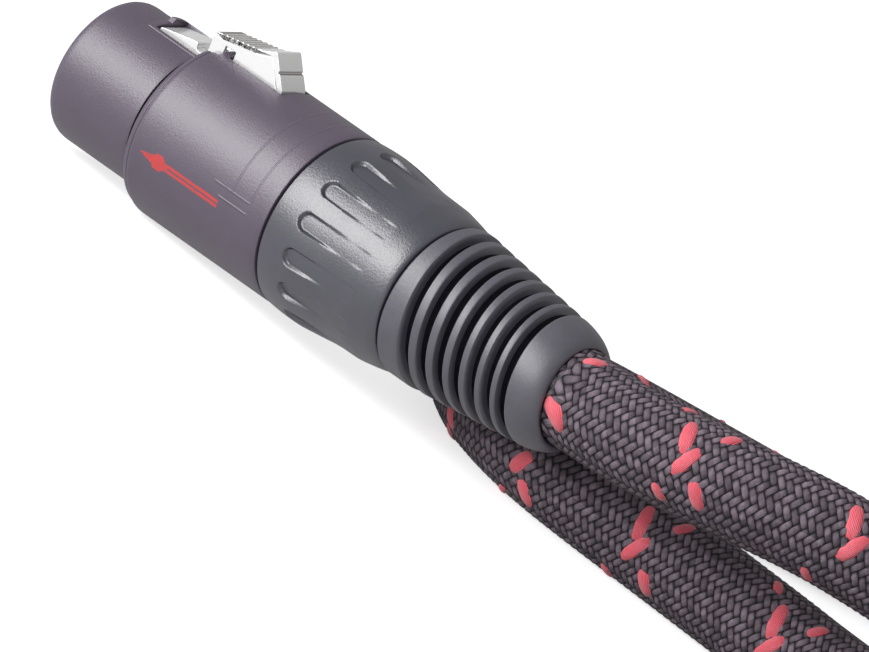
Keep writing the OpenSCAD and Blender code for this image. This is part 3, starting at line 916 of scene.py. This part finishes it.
# Painted shade: a darker nickel for the tooth fronts and the step at the pad's rear
toothShadeMat, shader, coords = material("nickelPaintedShade", (0.3, 0.29, 0.27), 0.45, Metallic=0.6)
shadeMottle = noise(coords, latch["shadeMottle"], 3.0, 0.6)
plug(shader, "Roughness", shadeMottle * 0.3 + 0.3)
plug(shader, "Base Color", mixColor(shadeMottle, (0.2, 0.19, 0.18), (0.42, 0.4, 0.38)))


# Height of the thumb pad at u: an even slope up from its front
def padTop(u):
    return latch["padFront"][1] + (u - latch["padFront"][0]) * latch["padSlope"]


# An outline of (u, z) given a width: its points at y = low and again at y = high, a flat face on each
# side, and a quad along each edge
def slab(outline, low, high):
    u, z = np.array(outline, float).T
    count = len(u)
    points = np.vstack([np.stack([u, 0 * u + low, z], -1), np.stack([u, 0 * u + high, z], -1)])
    edge = np.arange(count)
    following = (edge + 1) % count
    walls = np.stack([edge, edge + count, following + count, following], -1)
    return points, np.stack([edge, 2 * count - 1 - edge]), walls


hubAngles = np.radians(latch["hubAngles"])
hub = np.array(latch["hub"]) + latch["hubRadius"] * np.stack([np.cos(hubAngles), np.sin(hubAngles)], -1)
teeth = [point for u in np.arange(*latch["toothTops"])
         for point in ((u + 0.45, padTop(u + 0.45)), (u + 0.22, padTop(u) - latch["tooth"]), (u, padTop(u)))]
padFront, padBack = latch["padFront"][0], latch["padBack"]
leverOutline = [(5.8, 7.35), (21.9, 7.3), *hub, (22.78, 9.3), (22.7, 9.65), latch["rearEdge"], (21.45, 10.92),
                (21.5, 11.22), (20.45, 12.6), (20.3, 12.72), (20.1, 12.7), (19.95, 12.6),
                (padBack, padTop(padBack)), *teeth, (padFront + 0.1, padTop(padFront)),
                (padFront - 0.1, padTop(padFront) - 0.2), (padFront - 0.1, padTop(padFront) - 0.55),
                (padBack + 0.1, padTop(padBack + 0.1) - 0.55), (19.95, 12.0), (22.05, 9.4), (21.9, 8.9),
                (21.4, 8.5), (21.2, 8.0), (11.1, 8.0), (10.95, 8.15), (10.9, 8.6), (10.75, 8.72),
                (10.4, 8.72), (6.2, 7.92), (5.85, 7.8)]
flapOutline = [(12.3, 7.9), (14.2, 7.9), (14.2, 10.15), (15.65, 10.15), (15.65, 7.9), (21.3, 7.9),
               (22.0, 9.3), (20.0, 12.05), (padBack + 0.1, padTop(padBack + 0.1) - 0.5),
               (padFront - 0.1, padTop(padFront) - 0.5)]
leverU, leverZ = np.array(leverOutline, float).T
halfWidth = np.where(leverU < latch["noseEnd"], latch["noseHalf"], latch["half"])
points, blocks = [], []
count = 0
for outline, low, high in ((leverOutline, -halfWidth, halfWidth),
                           (flapOutline, -latch["half"], latch["wall"] - latch["half"]),
                           (flapOutline, latch["half"] - latch["wall"], latch["half"])):
    slabPoints, flats, walls = slab(outline, low, high)
    points.append(slabPoints)
    blocks += [flats + count, walls + count]
    count += len(slabPoints)

# Painted shade: a darker nickel on the front of each tooth and on the step at the pad's rear, which are
# walls of the lever
falling = (np.roll(leverZ, -1) < leverZ) & (leverZ > 10.5) & (leverU > 13.2) & (leverU < 18.3)
atStep = np.isclose(leverU, latch["rearEdge"][0]) & np.isclose(leverZ, latch["rearEdge"][1])
leverKinds = np.zeros(sum(map(len, blocks)), int)
leverKinds[2:2 + len(leverU)] = falling | atStep
mats = [nickelMat, toothShadeMat]
latchPiece = addPiece("latchLever", female(np.vstack(points)), blocks, mats, kinds=leverKinds)
bevel = latchPiece.modifiers.new("edge", "BEVEL")
bevel.width = latch["bevel"]
bevel.segments = 2
bevel.limit_method = "ANGLE"
bevel.angle_limit = radians(25)
bevel.harden_normals = True
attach(latchPiece, "latch")
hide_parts("f_latch")
print("stage: latch")

# Finishes of the solids that stay
insertMat, shader, coords = material("insertBlack", (0.02, 0.02, 0.022), 0.5)
grain = noise(coords, 3000.0, 2.0, 0.5)
plug(shader, "Roughness", grain * 0.2 + 0.4)
plug(shader, "Base Color", mixColor(grain, (0.014, 0.014, 0.016), (0.03, 0.03, 0.034)))
bump(shader, grain, 0.00003, 0.5)
silverMat, shader, coords = material("contactSilver", (0.83, 0.8, 0.72), 0.28, Metallic=1.0)
tarnish = noise(coords, 800.0, 3.0, 0.6)
plug(shader, "Roughness", tarnish * 0.2 + 0.16)
plug(shader, "Base Color", mixColor(tarnish, (0.72, 0.68, 0.58), (0.88, 0.86, 0.8)))
wireColors = {"wireWhite": (0.75, 0.75, 0.75), "wireRed": (0.55, 0.03, 0.03), "wireBlue": (0.03, 0.04, 0.35)}
finish = {
    "insert": insertMat, "chuck": insertMat, "cable_end": insertMat,
    "contact_1": silverMat, "contact_2": silverMat, "contact_3": silverMat,
    "pin_1": silverMat, "pin_2": silverMat, "pin_3": silverMat,
    "latch_pin": nickelMat, "latch_spring": nickelMat,
}
for number, (name, color) in enumerate(wireColors.items(), 1):
    mat, shader, coords = material(name, color, 0.4)
    grain = noise(coords, 900.0, 2.0, 0.5)
    plug(shader, "Roughness", grain * 0.2 + 0.3)
    plug(shader, "Base Color", mixColor(grain, tuple(0.8 * part for part in color), color))
    finish["wire_" + str(number)] = mat
for name, solid in nodes.items():
    kind = name.split("_", 1)[1]
    if kind in finish and not solid.hide_render:
        for slot in solid.material_slots:
            slot.material = finish[kind]
print("stage: finishes")

# The cord's facts, with the male connector on its far end
onCord = [maleShell, bpy.data.objects["maleBushing"], bpy.data.objects["maleBoot"], tracerPiece]
onCord += [nodes[name] for name in ("m_insert", "m_pin_1", "m_pin_2", "m_pin_3", "m_chuck", "m_cable_end",
                                    "m_wire_1", "m_wire_2", "m_wire_3")]
pathPoints = (lineAt(np.linspace(0, total, 480))[0] / 1000).tolist()
tuple(bootEnd / 1000)

# Floor, lamp and world: seen is what the camera sees, and mirrored is what gloss or glass shows
studio = {
    "floorHalf": 3,
    "floorColor": (0.93, 0.93, 0.935),
    "floorUnseen": (0.35, 0.35, 0.35),
    "floorSeenGlow": 0.68,
    "floorMirroredGlow": 0.25,
    "lampWay": (-0.36, -0.88, 0.15),
    "lampDistance": 0.8,
    "lampSize": (1.2, 0.8),
    "lampPower": 15.5,
    "worldPlain": 0.25,
    "worldMirrored": 0.26,
}


# Two values of 0 or 1: for rays from the camera, and for rays from glossy or clear surfaces
def rayKinds(tree):
    seen = Sock(tree, None).node("ShaderNodeLightPath", {}, "Is Camera Ray")
    return seen, (seen.beside("Is Glossy Ray") + seen.beside("Is Transmission Ray")).held()


half = studio["floorHalf"]
floorMesh = bpy.data.meshes.new("floor")
floorCorners = [(-half, -half, 0), (half, -half, 0), (half, half, 0), (-half, half, 0)]
floorMesh.from_pydata(floorCorners, [], [(0, 1, 2, 3)])
floor = bpy.data.objects.new("floor", floorMesh)
bpy.context.scene.collection.objects.link(floor)
floorMat, shader, coords = material("floorWhite", studio["floorColor"], 0.9, Specular_IOR_Level=0.0,
                                    Emission_Strength=1.0)
seen, mirrored = rayKinds(floorMat.node_tree)
plug(shader, "Base Color", mixColor((seen + mirrored).held(), studio["floorUnseen"], studio["floorColor"]))
plug(shader, "Emission Color", seen * studio["floorSeenGlow"] + mirrored * studio["floorMirroredGlow"])
floorMesh.materials.append(floorMat)

lampWay = Vector(studio["lampWay"]).normalized()
lampData = bpy.data.lights.new("key", "AREA")
lampData.shape = "RECTANGLE"
lampData.size, lampData.size_y = studio["lampSize"]
lampData.energy = studio["lampPower"]
lamp = bpy.data.objects.new("key", lampData)
bpy.context.scene.collection.objects.link(lamp)
lamp.location = Vector(camera["aim"]) + lampWay * studio["lampDistance"]
lamp.rotation_euler = lampWay.to_track_quat("Z", "Y").to_euler()

world = bpy.data.worlds.new("world")
world.use_nodes = True
bpy.context.scene.world = world
background = world.node_tree.nodes["Background"]
background.inputs["Strength"].default_value = 1.0
seen, mirrored = rayKinds(world.node_tree)
rest = 1 - studio["worldPlain"]
shown = (seen + mirrored * (studio["worldMirrored"] / rest)).held()
plug(background, "Color", shown * rest + studio["worldPlain"])
print("stage: light")
